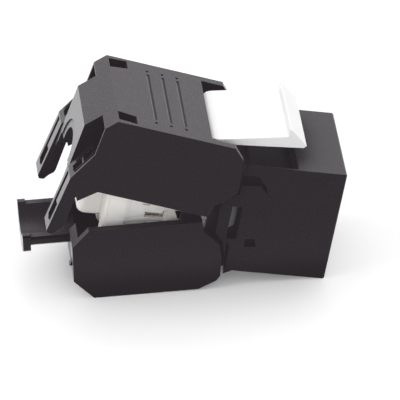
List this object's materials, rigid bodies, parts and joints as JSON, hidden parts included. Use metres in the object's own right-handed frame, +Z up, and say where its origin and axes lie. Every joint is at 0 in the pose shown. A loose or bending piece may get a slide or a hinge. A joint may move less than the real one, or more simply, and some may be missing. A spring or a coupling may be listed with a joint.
{
  "type": "keystone jack",
  "caption": "Tool-less keystone jack: plug port housing with a sprung latch arm and two hinged rear covers that close over the cable and press its wires into slit terminals.",
  "frame": {"origin": "centre of the front face, on the axis of the plug", "axes": "+X forward out of the plug port, +Y across, +Z up towards the latch arm"},
  "size_m": [0.0392, 0.0156, 0.0268],
  "materials": {
    "black_plastic": "fine satin moulding",
    "cover_plastic": "fine satin moulding",
    "white_plastic": "satin, slightly translucent",
    "latch_plastic": "satin",
    "board": "solder mask",
    "contact_gold": "gold plated",
    "terminal_metal": "plated phosphor bronze"
  },
  "bodies": {
    "housing": {"housing": "black_plastic", "contact_carrier": "black_plastic", "circuit_board": "board", "core_block": "white_plastic", "wire_manager": "white_plastic", "contact_1": "contact_gold", "contact_2": "contact_gold", "contact_3": "contact_gold", "contact_4": "contact_gold", "contact_5": "contact_gold", "contact_6": "contact_gold", "contact_7": "contact_gold", "contact_8": "contact_gold", "terminal_1": "terminal_metal", "terminal_2": "terminal_metal", "terminal_3": "terminal_metal", "terminal_4": "terminal_metal", "terminal_5": "terminal_metal", "terminal_6": "terminal_metal", "terminal_7": "terminal_metal", "terminal_8": "terminal_metal"},
    "upper_cover": {"upper_cover": "cover_plastic"},
    "lower_cover": {"lower_cover": "cover_plastic"},
    "latch_arm": {"latch_arm": "latch_plastic"}
  },
  "joints": [
    {"name": "upper_cover_hinge", "type": "hinge", "parent": "housing", "child": "upper_cover", "pos_m": [-0.015, 0, 0.0038], "axis": [0, -1, 0], "range_deg": [0, 8.7]},
    {"name": "lower_cover_hinge", "type": "hinge", "parent": "housing", "child": "lower_cover", "pos_m": [-0.015, 0, -0.0044], "axis": [0, 1, 0], "range_deg": [0, 12]},
    {"name": "latch_flex", "type": "hinge", "parent": "housing", "child": "latch_arm", "pos_m": [-0.0173, 0, 0.00975], "axis": [0, 1, 0], "range_deg": [0, 11], "stiffness_Nm_per_rad": 0.2}
  ]
}
